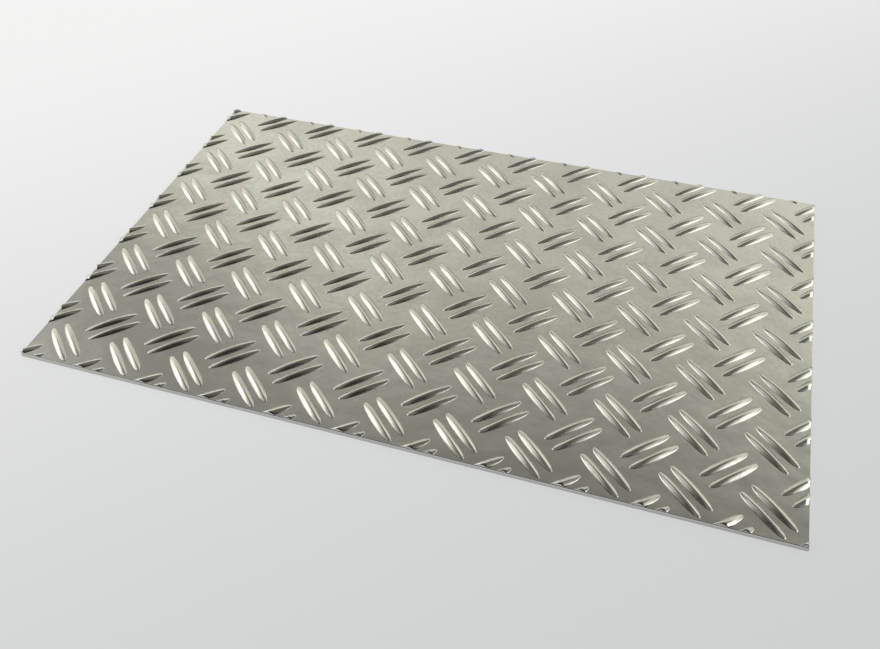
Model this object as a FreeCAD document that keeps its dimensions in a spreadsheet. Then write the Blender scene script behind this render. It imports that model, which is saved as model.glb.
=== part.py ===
"""Aluminium checker plate (tread plate) with the two-bar pattern, cut to a rectangle.

One rolled sheet: a flat base with raised tread bars on its upper face. The bars stand in pairs. Rising pairs
and falling pairs alternate like a basket weave, and the four sheared edges cut straight through the pattern.

Frame: millimetres, +Z up, X along the sheet's length, Y across it. The origin is the centre of the underside.
"""
import FreeCAD, Part
import math
import os

import Sketcher
from FreeCAD import Placement, Rotation, Vector

SHEET_NAME = "dims"
NODE_NAME = "checker_plate"

# Driving dimensions: alias, value (millimetres or degrees), what it is.
DIMENSIONS = [
    ("sheet_length", 400.0, "cut length of the sheet, along X"),
    ("sheet_width", 250.0, "cut width of the sheet, along Y"),
    ("base_thickness", 2.5, "thickness of the sheet between the bars"),
    ("bar_height", 1.5, "rise of a bar's crest above the sheet"),
    ("bar_length", 27.0, "length of a bar, tip to tip"),
    ("bar_lean", 43.5, "angle between a bar and the X axis"),
    ("bar_spacing", 7.1, "distance between the crests of a pair's two bars"),
    ("flank_slope", 45.0, "slope of a bar's flanks"),
    ("crest_radius", 1.2, "radius across a bar's crest"),
    ("bar_root", 0.25, "how far a bar's section reaches into the sheet"),
    ("pitch_along", 36.4, "distance between like pairs along X"),
    ("pitch_across", 35.1, "distance between like pairs along Y"),
    ("first_pair_in", 0.0, "first rising pair's centre, in from the left edge"),
    ("first_pair_up", -3.5, "first rising pair's centre, up from the front edge"),
]

# Cells worked out from the ones above: alias, formula, what it is.
DERIVED = [
    ("arch_radius", "=(bar_length ^ 2 / 4 + bar_height ^ 2) / (2 * bar_height)",
     "radius of the arc that a crest follows from tip to tip"),
    ("sweep_angle", "=2.1 * asin(bar_length / (2 * arch_radius))",
     "angle a bar's section is swept through, a little past both tips"),
    ("margin", "=bar_length", "waste round the sheet, wide enough for every bar that an edge cuts"),
    ("span_along", "=sheet_length - first_pair_in + bar_length / 2", "reach of the rising grid along X"),
    ("span_across", "=sheet_width - first_pair_up + bar_length / 2", "reach of the rising grid along Y"),
    ("rising_columns", "=floor(span_along / pitch_along) + 1", "rising pairs along X"),
    ("rising_rows", "=floor(span_across / pitch_across) + 1", "rising pairs along Y"),
    ("falling_columns", "=floor(span_along / pitch_along - 1 / 2) + 1", "falling pairs along X"),
    ("falling_rows", "=floor(span_across / pitch_across - 1 / 2) + 1", "falling pairs along Y"),
]


def add_dimension_sheet(doc):
    """Write the driving dimensions as plain numbers, then the worked-out cells, each with an alias and a note."""
    sheet = doc.addObject("Spreadsheet::Sheet", SHEET_NAME)
    for row, (alias, content, note) in enumerate(DIMENSIONS + DERIVED, start=1):
        sheet.set(f"A{row}", str(content))
        sheet.setAlias(f"A{row}", alias)
        sheet.set(f"B{row}", note)
    doc.recompute()
    return sheet


def origin_feature(body, role):
    """Return the body's own origin plane or axis with this role, such as XY_Plane."""
    return next(f for f in body.Origin.OriginFeatures if f.Role == role)


def bind(feature, **expressions):
    """Bind each named property of a feature to an expression on the dimension sheet."""
    for name, expression in expressions.items():
        feature.setExpression(name, expression)


def name_constraint(sketch, constraint, name, expression):
    """Add a dimensional constraint, name it and bind it to the dimension sheet."""
    index = sketch.addConstraint(constraint)
    sketch.renameConstraint(index, name)
    sketch.setExpression(f"Constraints.{name}", expression)


def add_rectangle(sketch, prefix, length, width, length_expression, width_expression):
    """Draw a rectangle centred on the sketch's origin, with its two sizes bound."""
    x, y = length / 2, width / 2
    corners = [Vector(-x, -y, 0), Vector(x, -y, 0), Vector(x, y, 0), Vector(-x, y, 0)]
    first = sketch.GeometryCount
    for k in range(4):
        sketch.addGeometry(Part.LineSegment(corners[k], corners[(k + 1) % 4]), False)
    for k in range(4):
        joint = Sketcher.Constraint("Coincident", first + k, 2, first + (k + 1) % 4, 1)
        sketch.addConstraint(joint)
    for k in (0, 2):
        sketch.addConstraint(Sketcher.Constraint("Horizontal", first + k))
        sketch.addConstraint(Sketcher.Constraint("Vertical", first + k + 1))
    centred = Sketcher.Constraint("Symmetric", first, 1, first + 1, 2, -1, 1)
    sketch.addConstraint(centred)
    across = Sketcher.Constraint("DistanceX", first, 1, first, 2, length)
    name_constraint(sketch, across, f"{prefix}_length", length_expression)
    up = Sketcher.Constraint("DistanceY", first + 1, 1, first + 1, 2, width)
    name_constraint(sketch, up, f"{prefix}_width", width_expression)


def add_tooth_section(sketch, prefix, side, value, arch_radius):
    """Draw one bar's section, a rounded V standing on the sheet, on one side of the pair's centre line.

    The sketch's origin is the axis the section is swept about, so heights are measured up from it.
    """
    radius = value["crest_radius"]
    slope = math.radians(value["flank_slope"])
    centre_x = side * value["bar_spacing"] / 2
    centre_y = arch_radius - radius
    shoulder_x = radius * math.sin(slope)
    shoulder_y = centre_y + radius * math.cos(slope)
    foot_y = arch_radius - value["bar_height"] - value["bar_root"]
    foot_x = shoulder_x + (shoulder_y - foot_y) / math.tan(slope)

    right_foot = Vector(centre_x + foot_x, foot_y, 0)
    left_foot = Vector(centre_x - foot_x, foot_y, 0)
    right_shoulder = Vector(centre_x + shoulder_x, shoulder_y, 0)
    left_shoulder = Vector(centre_x - shoulder_x, shoulder_y, 0)
    circle = Part.Circle(Vector(centre_x, centre_y, 0), Vector(0, 0, 1), radius)
    crest_arc = Part.ArcOfCircle(circle, math.pi / 2 - slope, math.pi / 2 + slope)
    crest = sketch.addGeometry(crest_arc, False)
    left = sketch.addGeometry(Part.LineSegment(left_shoulder, left_foot), False)
    bottom = sketch.addGeometry(Part.LineSegment(left_foot, right_foot), False)
    right = sketch.addGeometry(Part.LineSegment(right_foot, right_shoulder), False)

    sketch.addConstraint(Sketcher.Constraint("Tangent", crest, 2, left, 1))
    sketch.addConstraint(Sketcher.Constraint("Tangent", right, 2, crest, 1))
    sketch.addConstraint(Sketcher.Constraint("Coincident", left, 2, bottom, 1))
    sketch.addConstraint(Sketcher.Constraint("Coincident", bottom, 2, right, 1))
    sketch.addConstraint(Sketcher.Constraint("Horizontal", bottom))
    sketch.addConstraint(Sketcher.Constraint("Equal", left, right))

    name_constraint(sketch, Sketcher.Constraint("Radius", crest, radius),
                    f"{prefix}_crest", f"{SHEET_NAME}.crest_radius")
    name_constraint(sketch, Sketcher.Constraint("Angle", right, 1, bottom, 2, slope),
                    f"{prefix}_slope", f"{SHEET_NAME}.flank_slope")
    if side > 0:
        offset = Sketcher.Constraint("DistanceX", -1, 1, crest, 3, centre_x)
    else:
        offset = Sketcher.Constraint("DistanceX", crest, 3, -1, 1, -centre_x)
    name_constraint(sketch, offset, f"{prefix}_offset", f"{SHEET_NAME}.bar_spacing / 2")
    name_constraint(sketch, Sketcher.Constraint("DistanceY", -1, 1, crest, 3, centre_y),
                    f"{prefix}_centre", f"{SHEET_NAME}.arch_radius - {SHEET_NAME}.crest_radius")
    name_constraint(sketch, Sketcher.Constraint("DistanceY", -1, 1, bottom, 1, foot_y),
                    f"{prefix}_foot",
                    f"{SHEET_NAME}.arch_radius - {SHEET_NAME}.bar_height - {SHEET_NAME}.bar_root")


def add_pair(body, name, turn, along, across, value):
    """Build one pair of bars: the two sections stand upright across the bars and are swept in a shallow arc,
    so each crest rises from a pointed tip to full height and falls away again.
    """
    height = value["bar_height"]
    arch_radius = (value["bar_length"] ** 2 / 4 + height ** 2) / (2 * height)
    sketch = body.newObject("Sketcher::SketchObject", f"{name}_section")
    sketch.AttachmentSupport = [(origin_feature(body, "XZ_Plane"), "")]
    sketch.MapMode = "FlatFace"
    sketch.AttachmentOffset = Placement(Vector(0, 0, 0), Rotation(Vector(0, 1, 0), 1))
    # In the plane's own frame X runs along the sheet, Y is up and Z points to the front.
    crest = f"{SHEET_NAME}.base_thickness + {SHEET_NAME}.bar_height"
    sketch.setExpression("AttachmentOffset.Base.x", along)
    sketch.setExpression("AttachmentOffset.Base.y", f"{crest} - {SHEET_NAME}.arch_radius")
    sketch.setExpression("AttachmentOffset.Base.z", f"-({across})")
    sketch.setExpression("AttachmentOffset.Rotation.Angle", turn)
    add_tooth_section(sketch, "right", 1, value, arch_radius)
    add_tooth_section(sketch, "left", -1, value, arch_radius)
    sketch.Visibility = False

    pair = body.newObject("PartDesign::Revolution", name)
    pair.Profile = sketch
    pair.ReferenceAxis = (sketch, ["H_Axis"])
    pair.Midplane = True
    pair.Type = "Angle"
    bind(pair, Angle=f"{SHEET_NAME}.sweep_angle")
    return pair


def add_direction(body, name, role, offset, count):
    """Return one direction of a grid: a count of copies at an even offset along one of the body's axes."""
    direction = body.Document.addObject("PartDesign::LinearPattern", name)
    direction.Direction = (origin_feature(body, role), [""])
    direction.Mode = "Spacing"
    bind(direction, Offset=offset, Occurrences=count)
    return direction


def add_grid(body, kind, pair):
    """Repeat a pair of bars over the whole stock, in columns along X and rows along Y."""
    grid = body.newObject("PartDesign::MultiTransform", f"{kind}_grid")
    grid.Originals = [pair]
    grid.Refine = False
    grid.Transformations = [
        add_direction(body, f"{kind}_columns", "X_Axis",
                      f"{SHEET_NAME}.pitch_along", f"{SHEET_NAME}.{kind}_columns"),
        add_direction(body, f"{kind}_rows", "Y_Axis",
                      f"{SHEET_NAME}.pitch_across", f"{SHEET_NAME}.{kind}_rows"),
    ]
    body.Tip = grid
    return grid


def add_flat_sketch(body, name):
    """Return an empty sketch on the body's ground plane."""
    sketch = body.newObject("Sketcher::SketchObject", name)
    sketch.AttachmentSupport = [(origin_feature(body, "XY_Plane"), "")]
    sketch.MapMode = "FlatFace"
    sketch.Visibility = False
    return sketch


def build_plate(doc, value):
    """Roll the sheet with its two grids of bars, then shear it to size."""
    s = SHEET_NAME
    length = value["sheet_length"]
    width = value["sheet_width"]
    margin = value["bar_length"]
    body = doc.addObject("PartDesign::Body", NODE_NAME)
    body.Label = NODE_NAME
    body.Placement = Placement(Vector(0, 0, 0), Rotation())

    # The stock: a plain sheet, larger all round than the piece that is cut from it.
    stock_outline = add_flat_sketch(body, "stock_outline")
    add_rectangle(stock_outline, "stock", length + 2 * margin, width + 2 * margin,
                  f"{s}.sheet_length + 2 * {s}.margin", f"{s}.sheet_width + 2 * {s}.margin")
    stock = body.newObject("PartDesign::Pad", "stock")
    stock.Profile = stock_outline
    bind(stock, Length=f"{s}.base_thickness")
    body.Tip = stock

    # The bars: a grid of rising pairs, and a grid of falling pairs half a pitch away both ways.
    along = f"{s}.first_pair_in - {s}.sheet_length / 2"
    across = f"{s}.first_pair_up - {s}.sheet_width / 2"
    rising = add_pair(body, "rising_pair", f"90 + {s}.bar_lean", along, across, value)
    rising_grid = add_grid(body, "rising", rising)
    falling = add_pair(body, "falling_pair", f"90 - {s}.bar_lean",
                       f"{along} + {s}.pitch_along / 2", f"{across} + {s}.pitch_across / 2", value)
    falling_grid = add_grid(body, "falling", falling)

    # The shear: the frame of waste outside the piece is cut away, straight through the bars.
    shear_outline = add_flat_sketch(body, "shear_outline")
    add_rectangle(shear_outline, "waste", length + 4 * margin, width + 4 * margin,
                  f"{s}.sheet_length + 4 * {s}.margin", f"{s}.sheet_width + 4 * {s}.margin")
    add_rectangle(shear_outline, "sheet", length, width, f"{s}.sheet_length", f"{s}.sheet_width")
    shear = body.newObject("PartDesign::Pocket", "shear")
    shear.Profile = shear_outline
    shear.Type = "Length"
    shear.Reversed = True
    bind(shear, Length=f"2 * ({s}.base_thickness + {s}.bar_height)")
    body.Tip = shear

    doc.recompute()
    check_volumes(value, [stock, rising_grid, falling_grid, shear])
    return body


def check_volumes(value, stages):
    """Stop unless each grid added bars and the shear left the cut sheet and the bars on it."""
    stock, rising, falling, shear = [stage.Shape.Volume for stage in stages]
    sheet = value["sheet_length"] * value["sheet_width"] * value["base_thickness"]
    bars_on_stock = falling - stock
    bars_on_sheet = shear - sheet
    print(f"bars on the stock {bars_on_stock:.0f} mm3, on the cut sheet {bars_on_sheet:.0f} mm3")
    if not stock < rising < falling:
        raise RuntimeError("a grid of bars added nothing")
    if not 0 < bars_on_sheet < bars_on_stock:
        raise RuntimeError("the shear cut nothing, or cut too much")


def check_document(doc):
    """Stop if any object of the document failed to rebuild."""
    for item in doc.Objects:
        if "Invalid" in item.State or "Error" in item.State:
            raise RuntimeError(f"{item.Label} failed to rebuild: {item.State}")


def check_shape(body):
    """Stop unless the finished piece is one closed, valid solid."""
    shape = body.Shape
    if shape.isNull() or not shape.isValid():
        raise RuntimeError(f"{body.Label} has no valid shape")
    if len(shape.Solids) != 1 or not shape.Solids[0].isClosed():
        raise RuntimeError(f"{body.Label} is not one closed solid")


def main():
    doc = FreeCAD.newDocument("checker_plate")
    add_dimension_sheet(doc)
    value = {alias: number for alias, number, note in DIMENSIONS}
    body = build_plate(doc, value)
    check_document(doc)
    check_shape(body)
    os.makedirs("parts", exist_ok=True)
    body.Shape.exportStep(os.path.join("parts", f"{body.Label}.step"))
    print(f"{body.Label}: {body.Shape.Volume:.0f} mm3, {len(body.Shape.Faces)} faces")


main()
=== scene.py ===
"""Aluminium checker plate: the rolled sheet with its raised tread bars, its metal finish, and a plain
studio.
"""
import math

import bpy
from bpy.props import FloatProperty, FloatVectorProperty, PointerProperty
from bpy.types import Operator, Panel, PropertyGroup
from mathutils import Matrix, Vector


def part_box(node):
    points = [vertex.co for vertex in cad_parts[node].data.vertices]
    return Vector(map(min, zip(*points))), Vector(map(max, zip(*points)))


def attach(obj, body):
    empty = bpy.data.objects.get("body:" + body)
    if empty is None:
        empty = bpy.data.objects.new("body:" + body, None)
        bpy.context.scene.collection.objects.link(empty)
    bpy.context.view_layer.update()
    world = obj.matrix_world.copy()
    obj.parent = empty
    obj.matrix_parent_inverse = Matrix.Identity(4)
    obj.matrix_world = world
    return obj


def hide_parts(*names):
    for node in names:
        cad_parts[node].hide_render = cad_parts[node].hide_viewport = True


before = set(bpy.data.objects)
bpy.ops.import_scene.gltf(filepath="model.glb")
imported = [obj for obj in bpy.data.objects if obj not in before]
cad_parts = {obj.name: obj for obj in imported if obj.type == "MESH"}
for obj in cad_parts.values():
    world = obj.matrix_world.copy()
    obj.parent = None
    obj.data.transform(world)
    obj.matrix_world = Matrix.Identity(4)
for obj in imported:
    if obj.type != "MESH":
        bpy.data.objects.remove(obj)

bl_info = {
    "name": "Checker plate",
    "version": (1, 0, 0),
    "blender": (4, 5, 0),
    "location": "3D View > Sidebar > Plate",
    "description": "Makes a sheet of aluminium checker plate and a plain studio to show it in",
    "category": "Object",
}

NODE = "checker_plate"
LOW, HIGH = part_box(NODE)
MM = 0.001


# ---------------------------------------------------------------- sizes and colours


def length(name, description, millimetres):
    """Return a length property, kept in metres, whose default is given in millimetres."""
    return FloatProperty(name=name, description=description, default=millimetres * MM, precision=5,
                         subtype="DISTANCE", unit="LENGTH")


def angle(name, description, degrees):
    """Return an angle property, kept in radians, whose default is given in degrees."""
    return FloatProperty(name=name, description=description, default=math.radians(degrees),
                         subtype="ANGLE", unit="ROTATION")


def colour(name, description, rgb):
    """Return a colour property."""
    return FloatVectorProperty(name=name, description=description, default=rgb, min=0.0, max=1.0,
                               size=3, subtype="COLOR")


class PlateSettings(PropertyGroup):
    """Sizes of the rolled sheet and its tread bars, and the colours of the metal."""

    base_thickness: length("Base thickness", "Thickness of the sheet between the bars", 2.5)
    bar_length: length("Bar length", "Length of a bar, tip to tip", 27.0)
    bar_lean: angle("Bar lean", "Angle between a bar and the length of the sheet", 43.5)
    bar_spacing: length("Bar spacing", "Distance between the crests of a pair's two bars", 7.1)
    flank_slope: angle("Flank slope", "Slope of a bar's flanks", 53.0)
    crest_radius: length("Crest radius", "Radius across a bar's crest", 1.8)
    root_blend: length("Root blend", "Softness of the turn from a flank into the sheet", 0.15)
    root_flare: length("Root flare", "How far the turn reaches out round a bar's foot", 0.5)
    edge_roll: length("Edge roll", "How far in the shear rolls the face over along the edges", 0.35)
    pitch_along: length("Pitch along", "Distance between like pairs along the sheet", 36.4)
    pitch_across: length("Pitch across", "Distance between like pairs across the sheet", 35.1)
    first_pair_in: length("First pair in", "First rising pair's centre, in from the left edge", 0.0)
    first_pair_up: length("First pair up", "First rising pair's centre, up from the front edge", -3.5)
    metal: colour("Metal", "Colour of the rolled face", (0.80, 0.785, 0.735))
    metal_dull: colour("Dull metal", "Colour of the duller patches of the rolled face", (0.72, 0.705, 0.66))
    sheared: colour("Sheared metal", "Colour of the cut edges", (0.66, 0.655, 0.64))


class StudioSettings(PropertyGroup):
    """Colours of the studio that the plate is shown in."""

    # The floor's two colours paint a light falloff: darker at the front as painted shade, lighter at the back left
    # as painted light.
    floor: colour("Floor", "Colour of the floor at the front", (0.69, 0.705, 0.71))
    floor_painted_lit: colour("Far floor", "Colour of the floor at the back left", (1.00, 1.00, 1.00))


# ---------------------------------------------------------------- node trees


class Value:
    """A number's socket that takes part in Python sums: each operator adds one Math node."""

    def __init__(self, graph, socket):
        self.graph = graph
        self.socket = socket

    def __add__(self, other):
        return self.graph.math("ADD", self, other)

    def __sub__(self, other):
        return self.graph.math("SUBTRACT", self, other)

    def __mul__(self, other):
        return self.graph.math("MULTIPLY", self, other)

    def __truediv__(self, other):
        return self.graph.math("DIVIDE", self, other)

    def __rsub__(self, other):
        return self.graph.math("SUBTRACT", other, self)

    def __rtruediv__(self, other):
        return self.graph.math("DIVIDE", other, self)

    def __lt__(self, other):
        return self.graph.math("LESS_THAN", self, other)

    def __gt__(self, other):
        return self.graph.math("GREATER_THAN", self, other)

    __radd__ = __add__
    __rmul__ = __mul__

    def __abs__(self):
        return self.graph.math("ABSOLUTE", self)


class Graph:
    """A node tree that is built by calls."""

    def __init__(self, tree):
        self.tree = tree

    def add(self, kind, settings=None, inputs=None):
        """Add a node of a kind: its settings first, then the values or links of its sockets."""
        node = self.tree.nodes.new(kind)
        for name, setting in (settings or {}).items():
            if name == "stops":
                self.set_stops(node.color_ramp, setting)
            else:
                setattr(node, name, setting)
        for key, given in (inputs or {}).items():
            self.feed(node.inputs[key], given)
        return node

    def feed(self, socket, given):
        """Link a socket to what is given, or set its value."""
        if isinstance(given, Value):
            given = given.socket
        if isinstance(given, bpy.types.NodeSocket):
            self.tree.links.new(given, socket)
        else:
            socket.default_value = given

    @staticmethod
    def set_stops(ramp, stops):
        """Give a colour ramp its stops: pairs of a position and a grey or a colour."""
        while len(ramp.elements) < len(stops):
            ramp.elements.new(0.5)
        for element, (position, shade) in zip(ramp.elements, stops):
            element.position = position
            element.color = (shade, shade, shade, 1.0) if isinstance(shade, float) else (*shade, 1.0)

    def value(self, socket):
        return Value(self, socket)

    def math(self, operation, *terms):
        node = self.add("ShaderNodeMath", {"operation": operation}, dict(enumerate(terms)))
        return Value(self, node.outputs[0])

    def sqrt(self, term):
        return self.math("SQRT", term)

    def sine(self, term):
        return self.math("SINE", term)

    def cosine(self, term):
        return self.math("COSINE", term)

    def tangent(self, term):
        return self.math("TANGENT", term)

    def largest(self, first, second):
        return self.math("MAXIMUM", first, second)

    def smallest(self, first, second):
        return self.math("MINIMUM", first, second)

    def floor(self, term):
        return self.math("FLOOR", term)

    def choose(self, condition, when_true, when_false):
        """Return one of two numbers by a condition that is 0 or 1."""
        return when_false + condition * (when_true - when_false)

    def ease(self, term, start, end):
        """Return 0 below start, 1 above end and a smooth step between them."""
        node = self.add("ShaderNodeMapRange", {"interpolation_type": "SMOOTHSTEP"},
                        {"Value": term, "From Min": start, "From Max": end})
        return Value(self, node.outputs["Result"])

    def split(self, vector):
        """Return the three numbers of a vector."""
        node = self.add("ShaderNodeSeparateXYZ", inputs={0: vector})
        return [Value(self, socket) for socket in node.outputs]

    def join(self, x, y, z):
        """Return the vector of three numbers."""
        return self.add("ShaderNodeCombineXYZ", inputs={0: x, 1: y, 2: z}).outputs[0]

    def mix_colour(self, factor, first, second):
        """Return a blend of two colours."""
        node = self.add("ShaderNodeMix", {"data_type": "RGBA"}, {"Factor": factor, 6: first, 7: second})
        return node.outputs[2]


# ---------------------------------------------------------------- the rolled sheet


TREE_INPUTS = [
    ("Sheet Length", "sheet_length"),
    ("Sheet Width", "sheet_width"),
    ("Base Thickness", "base_thickness"),
    ("Bar Height", "bar_height"),
    ("Bar Length", "bar_length"),
    ("Bar Lean", "bar_lean"),
    ("Bar Spacing", "bar_spacing"),
    ("Flank Slope", "flank_slope"),
    ("Crest Radius", "crest_radius"),
    ("Root Blend", "root_blend"),
    ("Root Flare", "root_flare"),
    ("Edge Roll", "edge_roll"),
    ("Pitch Along", "pitch_along"),
    ("Pitch Across", "pitch_across"),
    ("First Pair In", "first_pair_in"),
    ("First Pair Up", "first_pair_up"),
]
BAR_CELLS_ALONG = 10
BAR_CELLS_ACROSS = 6


def bar_solid(graph, size):
    """Return one closed bar that lies along X, its foot at the height of the sheet's face.

    A crest follows a shallow arc from tip to tip. Across it the section is a rounded V, a little fuller
    than the solid's, which turns softly into the sheet, and a skirt reaches down into the sheet.
    """
    grid = graph.add("GeometryNodeMeshGrid", inputs={
        "Size X": 2.0, "Size Y": 2.0, "Vertices X": BAR_CELLS_ALONG + 1, "Vertices Y": BAR_CELLS_ACROSS + 1,
    })
    u, v, _ = graph.split(graph.add("GeometryNodeInputPosition").outputs[0])
    half = size["Bar Length"] * 0.5
    blend = size["Root Blend"]
    radius = size["Crest Radius"]
    height = size["Bar Height"] - blend * blend / (size["Bar Height"] * 4.0)
    arch = (half * half + height * height) / (height * 2.0)
    x = (half + size["Root Flare"]) * graph.sine(u * (math.pi / 2))
    crest = height - arch + graph.sqrt(arch * arch - x * x)

    shoulder = radius * graph.sine(size["Flank Slope"])
    cap = radius * (1.0 - graph.cosine(size["Flank Slope"]))
    slope = graph.tangent(size["Flank Slope"])
    wide = shoulder + (crest - cap) / slope
    under = radius - crest
    narrow = graph.sqrt(graph.largest(radius * radius - under * under, 0.0))
    y = v * (graph.choose(crest > cap, wide, narrow) + size["Root Flare"])
    round_top = crest - radius + graph.sqrt(graph.largest(radius * radius - y * y, 0.0))
    flank = crest - cap - (abs(y) - shoulder) * slope
    raw = graph.choose(abs(y) < shoulder, round_top, flank)
    z = (raw + graph.sqrt(raw * raw + blend * blend)) * 0.5

    face = graph.add("GeometryNodeSetPosition", inputs={"Geometry": grid.outputs["Mesh"],
                                                        "Position": graph.join(x, y, z)})
    skirt = graph.add("GeometryNodeExtrudeMesh", {"mode": "FACES"}, {
        "Mesh": face.outputs[0], "Offset": graph.join(0.0, 0.0, size["Bar Height"] * -1.35),
        "Offset Scale": 1.0, "Individual": False,
    })
    turned = graph.add("GeometryNodeFlipFaces", inputs={"Mesh": skirt.outputs["Mesh"]})
    both = graph.add("GeometryNodeJoinGeometry")
    graph.feed(both.inputs[0], turned.outputs[0])
    graph.feed(both.inputs[0], face.outputs[0])
    return graph.add("GeometryNodeMergeByDistance", inputs={"Geometry": both.outputs[0],
                                                            "Distance": 0.001 * MM}).outputs[0]


def bar_pair(graph, size, bar):
    """Return a pair of bars side by side, centred on the origin."""
    half = size["Bar Spacing"] * 0.5
    posts = graph.add("GeometryNodeMeshLine", {"mode": "OFFSET"}, {
        "Count": 2, "Start Location": graph.join(0.0, half * -1.0, 0.0),
        "Offset": graph.join(0.0, size["Bar Spacing"], 0.0),
    })
    return graph.add("GeometryNodeInstanceOnPoints", inputs={
        "Points": posts.outputs[0], "Instance": bar,
    }).outputs[0]


def pair_grid(graph, size, pair, turn, shift):
    """Return a grid of pairs over the sheet, turned about Z, and shifted by a share of the pitch both
    ways.
    """
    along = size["Pitch Along"]
    across = size["Pitch Across"]
    reach = size["Bar Length"] * 0.5
    columns = graph.floor((size["Sheet Length"] - size["First Pair In"] + reach) / along - shift) + 1.0
    rows = graph.floor((size["Sheet Width"] - size["First Pair Up"] + reach) / across - shift) + 1.0
    span_x = (columns - 1.0) * along
    span_y = (rows - 1.0) * across
    grid = graph.add("GeometryNodeMeshGrid", inputs={
        "Size X": span_x, "Size Y": span_y, "Vertices X": columns, "Vertices Y": rows,
    })
    first_x = size["First Pair In"] - size["Sheet Length"] * 0.5 + along * shift
    first_y = size["First Pair Up"] - size["Sheet Width"] * 0.5 + across * shift
    placed = graph.add("GeometryNodeTransform", inputs={
        "Geometry": grid.outputs["Mesh"],
        "Translation": graph.join(first_x + span_x * 0.5, first_y + span_y * 0.5, size["Base Thickness"]),
    })
    return graph.add("GeometryNodeInstanceOnPoints", inputs={
        "Points": placed.outputs[0], "Instance": pair,
        "Rotation": graph.add("FunctionNodeEulerToRotation",
                              inputs={0: graph.join(0.0, 0.0, turn)}).outputs[0],
    }).outputs[0]


def block(graph, x, y, low, high):
    """Return a rectangular block centred on Z, between two heights."""
    cube = graph.add("GeometryNodeMeshCube", inputs={"Size": graph.join(x, y, high - low)})
    return graph.add("GeometryNodeTransform", inputs={
        "Geometry": cube.outputs["Mesh"], "Translation": graph.join(0.0, 0.0, (high + low) * 0.5),
    }).outputs[0]


def outline(graph, size):
    """Return the block that the sheet is sheared to. It draws in where the face rolls over at the sheared
    edge.
    """
    cube = graph.add("GeometryNodeMeshCube", inputs={"Size": (2.0, 2.0, 4.0), "Vertices Z": 5})
    x, y, level = graph.split(graph.add("GeometryNodeInputPosition").outputs[0])
    face = size["Base Thickness"]
    roll = size["Edge Roll"]
    drawn_in = graph.choose(level < -0.5, roll * 0.0, graph.choose(level < 0.5, roll * 0.3, roll))
    lower = graph.choose(level < -1.5, face * -1.0, face - roll)
    upper = graph.choose(level < 0.5, face - roll * 0.3, graph.choose(level < 1.5, face, face * 3.0))
    place = graph.join(x * (size["Sheet Length"] * 0.5 - drawn_in), y * (size["Sheet Width"] * 0.5 - drawn_in),
                       graph.choose(level < -0.5, lower, upper))
    return graph.add("GeometryNodeSetPosition", inputs={"Geometry": cube.outputs["Mesh"],
                                                        "Position": place}).outputs[0]


def boolean(graph, operation, first, second):
    """Return the union or the overlap of two closed solids."""
    node = graph.add("GeometryNodeMeshBoolean", {"operation": operation, "solver": "MANIFOLD"})
    graph.feed(node.inputs["Mesh 2"], first)
    graph.feed(node.inputs["Mesh 2"], second)
    return node.outputs["Mesh"]


def tread_tree():
    """Build the tree that rolls the sheet with its bars and shears it to size."""
    tree = bpy.data.node_groups.new("Tread plate", "GeometryNodeTree")
    for name, _ in TREE_INPUTS:
        tree.interface.new_socket(name, in_out="INPUT", socket_type="NodeSocketFloat")
    tree.interface.new_socket("Metal", in_out="INPUT", socket_type="NodeSocketMaterial")
    tree.interface.new_socket("Geometry", in_out="OUTPUT", socket_type="NodeSocketGeometry")
    graph = Graph(tree)
    entry = graph.add("NodeGroupInput")
    size = {name: graph.value(entry.outputs[name]) for name, _ in TREE_INPUTS}

    pair = bar_pair(graph, size, bar_solid(graph, size))
    bars = graph.add("GeometryNodeJoinGeometry")
    graph.feed(bars.inputs[0], pair_grid(graph, size, pair, size["Bar Lean"], 0.0))
    graph.feed(bars.inputs[0], pair_grid(graph, size, pair, size["Bar Lean"] * -1.0, 0.5))
    solid_bars = graph.add("GeometryNodeRealizeInstances", inputs={0: bars.outputs[0]}).outputs[0]

    margin = size["Bar Length"] * 2.0
    stock = block(graph, size["Sheet Length"] + margin, size["Sheet Width"] + margin,
                  size["Base Thickness"] * 0.0, size["Base Thickness"])
    rolled = boolean(graph, "UNION", stock, solid_bars)
    sheet = boolean(graph, "INTERSECT", rolled, outline(graph, size))

    up = abs(graph.split(graph.add("GeometryNodeInputNormal").outputs[0])[2])
    x, y, _ = graph.split(graph.add("GeometryNodeInputPosition").outputs[0])
    inside = abs(x) < size["Sheet Length"] * 0.5 - size["Edge Roll"]
    inside = inside * (abs(y) < size["Sheet Width"] * 0.5 - size["Edge Roll"])
    rounded = (up > 0.001) * (up < 0.9999) * inside
    shaded = graph.add("GeometryNodeSetShadeSmooth", {"domain": "FACE"}, {
        "Geometry": sheet, "Shade Smooth": rounded,
    })
    whole = graph.add("GeometryNodeRealizeInstances", inputs={0: shaded.outputs[0]})
    finished = graph.add("GeometryNodeSetMaterial", inputs={
        "Geometry": whole.outputs[0], "Material": entry.outputs["Metal"],
    })
    graph.add("NodeGroupOutput", inputs={0: finished.outputs[0]})
    return tree


def plain_mesh(name, tree, given):
    """Evaluate a tree with the values given by socket name, and return its result as a plain object."""
    base = bpy.data.objects.new(f"{name}_source", bpy.data.meshes.new(f"{name}_source"))
    bpy.context.scene.collection.objects.link(base)
    modifier = base.modifiers.new("Tread", "NODES")
    modifier.node_group = tree
    for item in tree.interface.items_tree:
        if item.in_out == "INPUT" and item.name in given:
            modifier[item.identifier] = given[item.name]
    bpy.context.view_layer.update()
    evaluated = base.evaluated_get(bpy.context.evaluated_depsgraph_get())
    mesh = bpy.data.meshes.new_from_object(evaluated)
    mesh.name = name
    base.modifiers.remove(modifier)
    bpy.data.objects.remove(base)
    piece = bpy.data.objects.new(name, mesh)
    bpy.context.scene.collection.objects.link(piece)
    return piece


# ---------------------------------------------------------------- finishes


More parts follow.
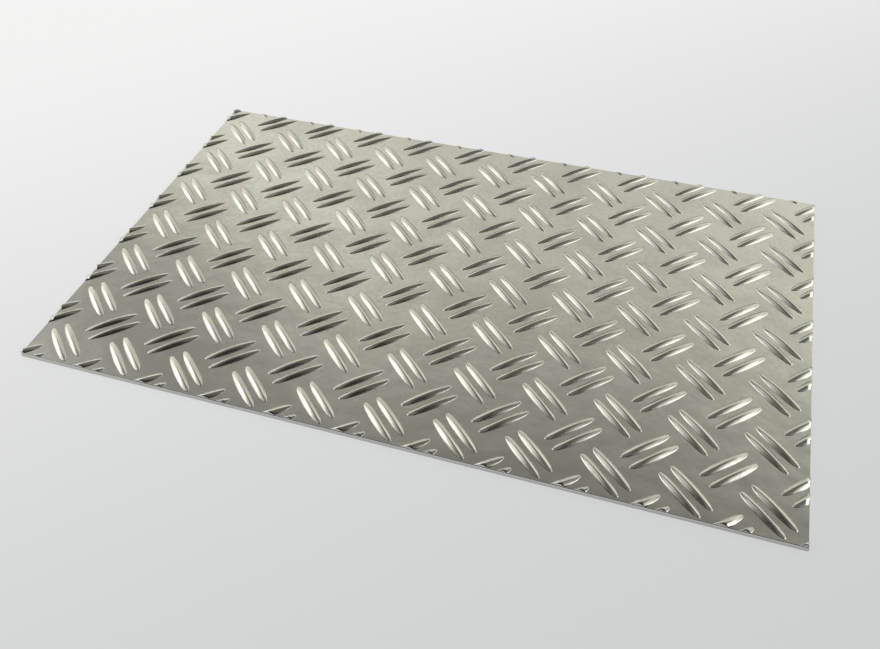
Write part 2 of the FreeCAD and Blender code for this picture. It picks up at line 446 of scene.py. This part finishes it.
def new_material(name):
    """Return an empty node material and its graph."""
    material = bpy.data.materials.new(name)
    material.use_nodes = True
    material.node_tree.nodes.clear()
    return material, Graph(material.node_tree)


def noise(graph, vector, scale, detail=2.0, roughness=0.5):
    """Return a noise between 0 and 1."""
    node = graph.add("ShaderNodeTexNoise", inputs={
        "Vector": vector, "Scale": scale, "Detail": detail, "Roughness": roughness,
    })
    return graph.value(node.outputs["Fac"])


def rolled_aluminium(settings):
    """Mill finish: satin rolled flats with a faint grain and dull patches, brighter bars, sheared edges."""
    material, graph = new_material("Rolled aluminium")
    place = graph.add("ShaderNodeTexCoord").outputs["Object"]
    millimetres = graph.add("ShaderNodeMapping", inputs={"Vector": place, "Scale": (1000.0, 1000.0, 1000.0)})
    at = millimetres.outputs[0]
    x, y, z = graph.split(at)

    rise = graph.ease(z, settings.base_thickness / MM + 0.05, settings.base_thickness / MM + 0.9)
    side = graph.largest(abs(x) - (HIGH[0] / MM - 0.01), abs(y) - (HIGH[1] / MM - 0.01))
    bar_end = (side > -settings.edge_roll / MM) * (z > settings.base_thickness / MM + 0.01)
    cut = graph.largest(side > 0.0, bar_end)

    patches = noise(graph, at, 0.03, 3.0)
    mottle = noise(graph, at, 0.35, 4.0, 0.6)
    grain = noise(graph, graph.join(x * 0.08, y * 1.6, z), 1.0, 3.0, 0.6)
    speck = noise(graph, at, 3.0, 2.0)
    dull = graph.ease(patches * 0.6 + mottle * 0.4, 0.38, 0.66)
    face = graph.mix_colour(dull, (*settings.metal, 1.0), (*settings.metal_dull, 1.0))
    shade = graph.mix_colour(cut, face, (*settings.sheared, 1.0))

    streaks = noise(graph, graph.join(x * 1.5, y * 1.5, z * 0.25), 1.0, 3.0, 0.65)
    burnish = graph.ease(z + streaks * 0.8, 1.6, 2.1)
    rough_face = 0.19 + dull * 0.05 + grain * 0.04 + mottle * 0.03 - rise * 0.06
    rough_cut = 0.52 - burnish * 0.16 + speck * 0.1
    roughness = graph.choose(cut, rough_cut, rough_face)

    waves = noise(graph, at, 0.055, 1.0) * 0.22 + noise(graph, at, 0.16, 1.0) * 0.05
    relief_face = waves + mottle * 0.006 + grain * 0.003 + speck * 0.0012
    relief_cut = streaks * 0.09 + speck * 0.03
    relief = graph.choose(cut, relief_cut, relief_face)
    bump = graph.add("ShaderNodeBump", inputs={"Strength": 1.0, "Distance": MM, "Height": relief})

    metal = graph.add("ShaderNodeBsdfPrincipled", inputs={
        "Base Color": shade, "Metallic": 1.0, "Roughness": roughness, "Normal": bump.outputs[0],
    })
    graph.add("ShaderNodeOutputMaterial", inputs={"Surface": metal.outputs[0]})
    return material


def floor_finish(settings):
    """A matt floor with painted light: its colour runs from darker at the front to lighter at the back left as if
    lit from there, kept pale for the eye and for reflections without more light on the sheet.
    """
    material, graph = new_material("Pale floor")
    x, y, _ = graph.split(graph.add("ShaderNodeTexCoord").outputs["Object"])
    # Painted light falloff: the floor is painted lighter towards the back left and darker towards the front.
    far = graph.ease(y * 0.71 - x * 0.71, -0.34, 0.45)
    tone = graph.mix_colour(far, (*settings.floor, 1.0), (*settings.floor_painted_lit, 1.0))
    matt = graph.add("ShaderNodeBsdfPrincipled", inputs={
        "Base Color": tone, "Roughness": 0.9, "Specular IOR Level": 0.2,
    })
    pale = graph.add("ShaderNodeEmission", inputs={"Color": tone, "Strength": 1.0})
    rays = graph.add("ShaderNodeLightPath").outputs
    seen = graph.largest(graph.value(rays["Is Camera Ray"]), graph.value(rays["Is Glossy Ray"])) * 0.82
    shown = graph.add("ShaderNodeMixShader", inputs={0: seen, 1: matt.outputs[0], 2: pale.outputs[0]})
    graph.add("ShaderNodeOutputMaterial", inputs={"Surface": shown.outputs[0]})
    return material


# ---------------------------------------------------------------- operators


class PLATE_OT_make_sheet(Operator):
    """Roll the sheet with its tread bars, shear it to size and give it its metal finish"""

    bl_idname = "plate.make_sheet"
    bl_label = "Make the sheet"

    def execute(self, context):
        settings = context.scene.plate_settings
        given = {name: getattr(settings, key) for name, key in TREE_INPUTS if hasattr(settings, key)}
        given["Sheet Length"] = HIGH[0] - LOW[0]
        given["Sheet Width"] = HIGH[1] - LOW[1]
        given["Bar Height"] = HIGH[2] - settings.base_thickness
        given["Metal"] = rolled_aluminium(settings)
        piece = plain_mesh("tread_sheet", tread_tree(), given)
        if len(piece.data.polygons) < 1000:
            raise RuntimeError("the sheet came out without its bars")
        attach(piece, "root")
        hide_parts(NODE)
        return {"FINISHED"}


class PLATE_OT_make_studio(Operator):
    """Lay the floor, light it with a soft dome, and set up the camera"""

    bl_idname = "plate.make_studio"
    bl_label = "Make the studio"

    def execute(self, context):
        make_floor(context.scene.studio_settings)
        make_dome(context.scene)
        make_camera(context.scene)
        context.scene.view_settings.view_transform = "Standard"
        return {"FINISHED"}


def make_floor(settings):
    """Lay a wide plain floor just under the sheet."""
    mesh = bpy.data.meshes.new("floor")
    reach = 4.0
    depth = -0.05 * MM
    corners = [(-reach, -reach, depth), (reach, -reach, depth), (reach, reach, depth), (-reach, reach, depth)]
    mesh.from_pydata(corners, [], [(0, 1, 2, 3)])
    mesh.materials.append(floor_finish(settings))
    floor = bpy.data.objects.new("floor", mesh)
    bpy.context.scene.collection.objects.link(floor)


def glow(graph, direction, azimuth, elevation, core, edge):
    """Return a soft round patch of the dome: 1 within core degrees of a direction, 0 past edge degrees."""
    a = math.radians(azimuth)
    e = math.radians(elevation)
    aim = (math.sin(a) * math.cos(e), math.cos(a) * math.cos(e), math.sin(e))
    dot = graph.add("ShaderNodeVectorMath", {"operation": "DOT_PRODUCT"}, {0: direction, 1: aim})
    return graph.ease(graph.value(dot.outputs["Value"]), math.cos(math.radians(edge)), math.cos(math.radians(core)))


def make_dome(scene):
    """Light the scene with a soft dome: a wall that dims upwards, with a dark gap on the left, bright
    panels low on both sides, and dimmer ones low in front and high up. Bearings are in degrees from +Y
    towards +X, and heights in degrees above the floor.
    """
    world = bpy.data.worlds.new("Studio dome")
    world.use_nodes = True
    world.node_tree.nodes.clear()
    scene.world = world
    graph = Graph(world.node_tree)
    direction = graph.add("ShaderNodeTexCoord").outputs["Generated"]
    dx, dy, dz = graph.split(direction)
    bearing = graph.math("ARCTAN2", dx, dy) * math.degrees(1.0)
    height = graph.math("ARCSINE", dz) * math.degrees(1.0)

    ramp = graph.add("ShaderNodeValToRGB", {"stops": [
        (0.0, 0.58), (31 / 90, 0.60), (37 / 90, 0.65), (42 / 90, 0.58), (47 / 90, 0.40), (52 / 90, 0.20),
        (57 / 90, 0.11), (1.0, 0.10),
    ]}, {"Fac": graph.largest(height, 0.0) / 90.0})
    round_back = graph.ease(bearing, -114.0, -104.0) * (1.0 - graph.ease(bearing, 98.0, 112.0))
    sides = 1.0 + graph.ease(abs(bearing + 7.0), 4.0, 30.0) * (1.0 - graph.ease(height, 32.0, 58.0)) * 0.45
    gap = glow(graph, direction, -47, 44, 3, 14) * 0.88
    wall = graph.value(ramp.outputs[0]) * round_back * sides * (1.0 - gap) + 0.02
    wall = wall + graph.ease(height, 72.0, 88.0) * 0.15
    front = graph.ease(abs(bearing), 150.0, 168.0) * (1.0 - graph.ease(height, 24.0, 35.0)) * 0.45

    right_top = height + graph.largest(bearing - 90.0, 0.0) * 0.25
    right = graph.ease(bearing, 50.0, 66.0) * (1.0 - graph.ease(bearing, 106.0, 114.0))
    right = right * (1.0 - graph.ease(right_top, 39.0, 44.0)) * 0.8
    left = graph.ease(bearing, -109.0, -103.0) * (1.0 - graph.ease(bearing, -86.0, -64.0))
    left = left * (1.0 - graph.ease(height, 33.0, 40.0)) * 0.75
    above = glow(graph, direction, -72, 52, 8, 20) * 0.45

    warm = graph.add("ShaderNodeBackground", inputs={"Color": (1.0, 0.998, 0.888, 1.0), "Strength": wall})
    clean = graph.add("ShaderNodeBackground", inputs={"Color": (0.985, 0.995, 1.0, 1.0),
                                                      "Strength": right + left + above + front + gap * 0.06})
    both = graph.add("ShaderNodeAddShader", inputs={0: warm.outputs[0], 1: clean.outputs[0]})
    graph.add("ShaderNodeOutputWorld", inputs={"Surface": both.outputs[0]})


def make_camera(scene):
    """Set up the camera: above the front right of the sheet, looking down across it to the back left."""
    data = bpy.data.cameras.new("camera")
    data.sensor_width = 36.0
    data.lens = 35.18
    camera = bpy.data.objects.new("camera", data)
    camera.location = (0.1106, -0.3524, 0.3353)
    camera.rotation_euler = (math.radians(44.55), math.radians(0.92), math.radians(17.41))
    scene.collection.objects.link(camera)
    scene.camera = camera


# ---------------------------------------------------------------- panel and registering


class PLATE_PT_sidebar(Panel):
    """The plate's settings and buttons"""

    bl_label = "Checker plate"
    bl_space_type = "VIEW_3D"
    bl_region_type = "UI"
    bl_category = "Plate"

    def draw(self, context):
        for settings, operator in (
            (context.scene.plate_settings, PLATE_OT_make_sheet),
            (context.scene.studio_settings, PLATE_OT_make_studio),
        ):
            box = self.layout.box()
            for name in settings.__annotations__:
                box.prop(settings, name)
            box.operator(operator.bl_idname)


CLASSES = (PlateSettings, StudioSettings, PLATE_OT_make_sheet, PLATE_OT_make_studio, PLATE_PT_sidebar)


def register():
    for item in CLASSES:
        bpy.utils.register_class(item)
    bpy.types.Scene.plate_settings = PointerProperty(type=PlateSettings)
    bpy.types.Scene.studio_settings = PointerProperty(type=StudioSettings)


def unregister():
    del bpy.types.Scene.studio_settings
    del bpy.types.Scene.plate_settings
    for item in reversed(CLASSES):
        bpy.utils.unregister_class(item)


def main():
    """Make the sheet and its studio."""
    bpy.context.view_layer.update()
    register()
    bpy.ops.plate.make_sheet()
    bpy.ops.plate.make_studio()


if __name__ == "__main__":
    main()
